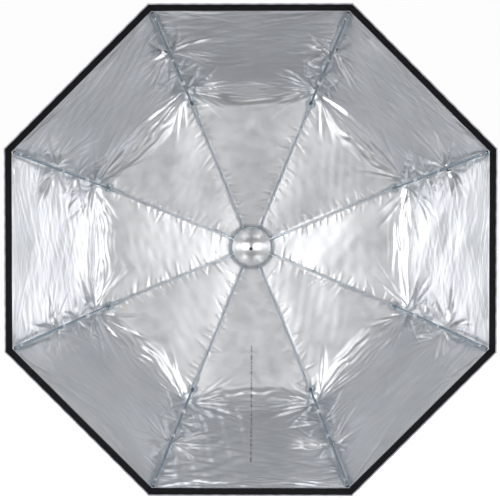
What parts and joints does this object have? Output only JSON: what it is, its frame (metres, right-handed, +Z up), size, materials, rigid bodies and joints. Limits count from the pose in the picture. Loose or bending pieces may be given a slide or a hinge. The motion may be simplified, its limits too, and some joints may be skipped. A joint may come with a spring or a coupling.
{
  "type": "folding octagonal softbox",
  "caption": "Folding octagonal softbox: umbrella rib frame with a sliding runner, silver-lined black fabric shell, domed hub and a shaft for an umbrella holder.",
  "frame": {"origin": "on the axis of the shaft, where its free length starts, 1 mm in front of the apex of the hub dome", "axes": "the open mouth faces -Y, the hub's back is at +Y and +Z is up with the zipped panels at the bottom (-Z); the frame's hinges lie in the eight corner planes through the Y axis, at 22.5 degrees and every 45 degrees from +X"},
  "size_m": [1.09, 0.4655, 1.09],
  "materials": {
    "chrome": "polished",
    "steel": "satin",
    "channel": "satin",
    "cast": "cast",
    "black_plastic": "matte",
    "black_nylon": "woven",
    "silver_cloth": "metallised woven",
    "loop_tape": "brushed loop pile",
    "grey_piping": "woven",
    "zip_metal": "painted"
  },
  "bodies": {
    "frame": {"shaft": "steel", "shaft_end_plug": "black_plastic", "crown": "cast", "crown_pins": "steel", "seat_washer": "black_plastic", "hub_patch": "black_nylon", "rear_cap": "black_plastic", "cap_screws": "steel", "shell_gore_1": "black_nylon", "shell_gore_2": "black_nylon", "shell_gore_3": "black_nylon", "shell_gore_4": "black_nylon", "shell_gore_5": "black_nylon", "shell_gore_6": "black_nylon", "shell_gore_7": "black_nylon", "shell_gore_8": "black_nylon", "silver_lining": "silver_cloth", "edge_band": "loop_tape", "edge_piping": "grey_piping", "zip_tape": "black_nylon", "zip_coil": "black_plastic"},
    "runner": {"runner": "cast", "runner_pins": "steel", "dome": "chrome", "detent_ball": "steel", "detent_spring": "steel"},
    "inner_arm_1": {"inner_rib_1": "channel", "elbow_1": "cast"},
    "inner_arm_2": {"inner_rib_2": "channel", "elbow_2": "cast"},
    "inner_arm_3": {"inner_rib_3": "channel", "elbow_3": "cast"},
    "inner_arm_4": {"inner_rib_4": "channel", "elbow_4": "cast"},
    "inner_arm_5": {"inner_rib_5": "channel", "elbow_5": "cast"},
    "inner_arm_6": {"inner_rib_6": "channel", "elbow_6": "cast"},
    "inner_arm_7": {"inner_rib_7": "channel", "elbow_7": "cast"},
    "inner_arm_8": {"inner_rib_8": "channel", "elbow_8": "cast"},
    "outer_arm_1": {"outer_rib_1": "steel"},
    "outer_arm_2": {"outer_rib_2": "steel"},
    "outer_arm_3": {"outer_rib_3": "steel"},
    "outer_arm_4": {"outer_rib_4": "steel"},
    "outer_arm_5": {"outer_rib_5": "steel"},
    "outer_arm_6": {"outer_rib_6": "steel"},
    "outer_arm_7": {"outer_rib_7": "steel"},
    "outer_arm_8": {"outer_rib_8": "steel"},
    "stretcher_arm_1": {"stretcher_1": "channel"},
    "stretcher_arm_2": {"stretcher_2": "channel"},
    "stretcher_arm_3": {"stretcher_3": "channel"},
    "stretcher_arm_4": {"stretcher_4": "channel"},
    "stretcher_arm_5": {"stretcher_5": "channel"},
    "stretcher_arm_6": {"stretcher_6": "channel"},
    "stretcher_arm_7": {"stretcher_7": "channel"},
    "stretcher_arm_8": {"stretcher_8": "channel"},
    "zip_slide_body": {"zip_slider": "zip_metal"}
  },
  "joints": [
    {"name": "runner_slide", "type": "slide", "parent": "frame", "child": "runner", "axis": [0, -1, 0], "range_m": [0, 0.064]},
    {"name": "arm_1_fold", "type": "hinge", "parent": "frame", "child": "inner_arm_1", "pos_m": [0.04342, 0.052, 0.01799], "axis": [0.3827, 0, -0.9239], "range_deg": [0, 74.99]},
    {"name": "arm_2_fold", "type": "hinge", "parent": "frame", "child": "inner_arm_2", "pos_m": [0.01799, 0.052, 0.04342], "axis": [0.9239, 0, -0.3827], "range_deg": [0, 74.99]},
    {"name": "arm_3_fold", "type": "hinge", "parent": "frame", "child": "inner_arm_3", "pos_m": [-0.01799, 0.052, 0.04342], "axis": [0.9239, 0, 0.3827], "range_deg": [0, 74.99]},
    {"name": "arm_4_fold", "type": "hinge", "parent": "frame", "child": "inner_arm_4", "pos_m": [-0.04342, 0.052, 0.01799], "axis": [0.3827, 0, 0.9239], "range_deg": [0, 74.99]},
    {"name": "arm_5_fold", "type": "hinge", "parent": "frame", "child": "inner_arm_5", "pos_m": [-0.04342, 0.052, -0.01799], "axis": [-0.3827, 0, 0.9239], "range_deg": [0, 74.99]},
    {"name": "arm_6_fold", "type": "hinge", "parent": "frame", "child": "inner_arm_6", "pos_m": [-0.01799, 0.052, -0.04342], "axis": [-0.9239, 0, 0.3827], "range_deg": [0, 74.99]},
    {"name": "arm_7_fold", "type": "hinge", "parent": "frame", "child": "inner_arm_7", "pos_m": [0.01799, 0.052, -0.04342], "axis": [-0.9239, 0, -0.3827], "range_deg": [0, 74.99]},
    {"name": "arm_8_fold", "type": "hinge", "parent": "frame", "child": "inner_arm_8", "pos_m": [0.04342, 0.052, -0.01799], "axis": [-0.3827, 0, -0.9239], "range_deg": [0, 74.99]},
    {"name": "elbow_1_bend", "type": "hinge", "parent": "inner_arm_1", "child": "outer_arm_1", "pos_m": [0.35847, 0.01, 0.14848], "axis": [0.3827, 0, -0.9239], "range_deg": [-46.5, 0]},
    {"name": "elbow_2_bend", "type": "hinge", "parent": "inner_arm_2", "child": "outer_arm_2", "pos_m": [0.14848, 0.01, 0.35847], "axis": [0.9239, 0, -0.3827], "range_deg": [-46.5, 0]},
    {"name": "elbow_3_bend", "type": "hinge", "parent": "inner_arm_3", "child": "outer_arm_3", "pos_m": [-0.14848, 0.01, 0.35847], "axis": [0.9239, 0, 0.3827], "range_deg": [-46.5, 0]},
    {"name": "elbow_4_bend", "type": "hinge", "parent": "inner_arm_4", "child": "outer_arm_4", "pos_m": [-0.35847, 0.01, 0.14848], "axis": [0.3827, 0, 0.9239], "range_deg": [-46.5, 0]},
    {"name": "elbow_5_bend", "type": "hinge", "parent": "inner_arm_5", "child": "outer_arm_5", "pos_m": [-0.35847, 0.01, -0.14848], "axis": [-0.3827, 0, 0.9239], "range_deg": [-46.5, 0]},
    {"name": "elbow_6_bend", "type": "hinge", "parent": "inner_arm_6", "child": "outer_arm_6", "pos_m": [-0.14848, 0.01, -0.35847], "axis": [-0.9239, 0, 0.3827], "range_deg": [-46.5, 0]},
    {"name": "elbow_7_bend", "type": "hinge", "parent": "inner_arm_7", "child": "outer_arm_7", "pos_m": [0.14848, 0.01, -0.35847], "axis": [-0.9239, 0, -0.3827], "range_deg": [-46.5, 0]},
    {"name": "elbow_8_bend", "type": "hinge", "parent": "inner_arm_8", "child": "outer_arm_8", "pos_m": [0.35847, 0.01, -0.14848], "axis": [-0.3827, 0, -0.9239], "range_deg": [-46.5, 0]},
    {"name": "stretcher_1_swing", "type": "hinge", "parent": "runner", "child": "stretcher_arm_1", "pos_m": [0.04342, 0.03513, 0.01799], "axis": [0.3827, 0, -0.9239], "range_deg": [-55.8, 0]},
    {"name": "stretcher_2_swing", "type": "hinge", "parent": "runner", "child": "stretcher_arm_2", "pos_m": [0.01799, 0.03513, 0.04342], "axis": [0.9239, 0, -0.3827], "range_deg": [-55.8, 0]},
    {"name": "stretcher_3_swing", "type": "hinge", "parent": "runner", "child": "stretcher_arm_3", "pos_m": [-0.01799, 0.03513, 0.04342], "axis": [0.9239, 0, 0.3827], "range_deg": [-55.8, 0]},
    {"name": "stretcher_4_swing", "type": "hinge", "parent": "runner", "child": "stretcher_arm_4", "pos_m": [-0.04342, 0.03513, 0.01799], "axis": [0.3827, 0, 0.9239], "range_deg": [-55.8, 0]},
    {"name": "stretcher_5_swing", "type": "hinge", "parent": "runner", "child": "stretcher_arm_5", "pos_m": [-0.04342, 0.03513, -0.01799], "axis": [-0.3827, 0, 0.9239], "range_deg": [-55.8, 0]},
    {"name": "stretcher_6_swing", "type": "hinge", "parent": "runner", "child": "stretcher_arm_6", "pos_m": [-0.01799, 0.03513, -0.04342], "axis": [-0.9239, 0, 0.3827], "range_deg": [-55.8, 0]},
    {"name": "stretcher_7_swing", "type": "hinge", "parent": "runner", "child": "stretcher_arm_7", "pos_m": [0.01799, 0.03513, -0.04342], "axis": [-0.9239, 0, -0.3827], "range_deg": [-55.8, 0]},
    {"name": "stretcher_8_swing", "type": "hinge", "parent": "runner", "child": "stretcher_arm_8", "pos_m": [0.04342, 0.03513, -0.01799], "axis": [-0.3827, 0, -0.9239], "range_deg": [-55.8, 0]},
    {"name": "zip_pull", "type": "slide", "parent": "frame", "child": "zip_slide_body", "axis": [0, 0.9355, 0.3533], "range_m": [0, 0.17]}
  ],
  "couplings": [
    {"joint": "arm_1_fold", "follows": "runner_slide", "rad_per_m": 20.447},
    {"joint": "arm_2_fold", "follows": "runner_slide", "rad_per_m": 20.447},
    {"joint": "arm_3_fold", "follows": "runner_slide", "rad_per_m": 20.447},
    {"joint": "arm_4_fold", "follows": "runner_slide", "rad_per_m": 20.447},
    {"joint": "arm_5_fold", "follows": "runner_slide", "rad_per_m": 20.447},
    {"joint": "arm_6_fold", "follows": "runner_slide", "rad_per_m": 20.447},
    {"joint": "arm_7_fold", "follows": "runner_slide", "rad_per_m": 20.447},
    {"joint": "arm_8_fold", "follows": "runner_slide", "rad_per_m": 20.447},
    {"joint": "elbow_1_bend", "follows": "runner_slide", "rad_per_m": -12.678},
    {"joint": "elbow_2_bend", "follows": "runner_slide", "rad_per_m": -12.678},
    {"joint": "elbow_3_bend", "follows": "runner_slide", "rad_per_m": -12.678},
    {"joint": "elbow_4_bend", "follows": "runner_slide", "rad_per_m": -12.678},
    {"joint": "elbow_5_bend", "follows": "runner_slide", "rad_per_m": -12.678},
    {"joint": "elbow_6_bend", "follows": "runner_slide", "rad_per_m": -12.678},
    {"joint": "elbow_7_bend", "follows": "runner_slide", "rad_per_m": -12.678},
    {"joint": "elbow_8_bend", "follows": "runner_slide", "rad_per_m": -12.678},
    {"joint": "stretcher_1_swing", "follows": "runner_slide", "rad_per_m": -15.216},
    {"joint": "stretcher_2_swing", "follows": "runner_slide", "rad_per_m": -15.216},
    {"joint": "stretcher_3_swing", "follows": "runner_slide", "rad_per_m": -15.216},
    {"joint": "stretcher_4_swing", "follows": "runner_slide", "rad_per_m": -15.216},
    {"joint": "stretcher_5_swing", "follows": "runner_slide", "rad_per_m": -15.216},
    {"joint": "stretcher_6_swing", "follows": "runner_slide", "rad_per_m": -15.216},
    {"joint": "stretcher_7_swing", "follows": "runner_slide", "rad_per_m": -15.216},
    {"joint": "stretcher_8_swing", "follows": "runner_slide", "rad_per_m": -15.216}
  ]
}
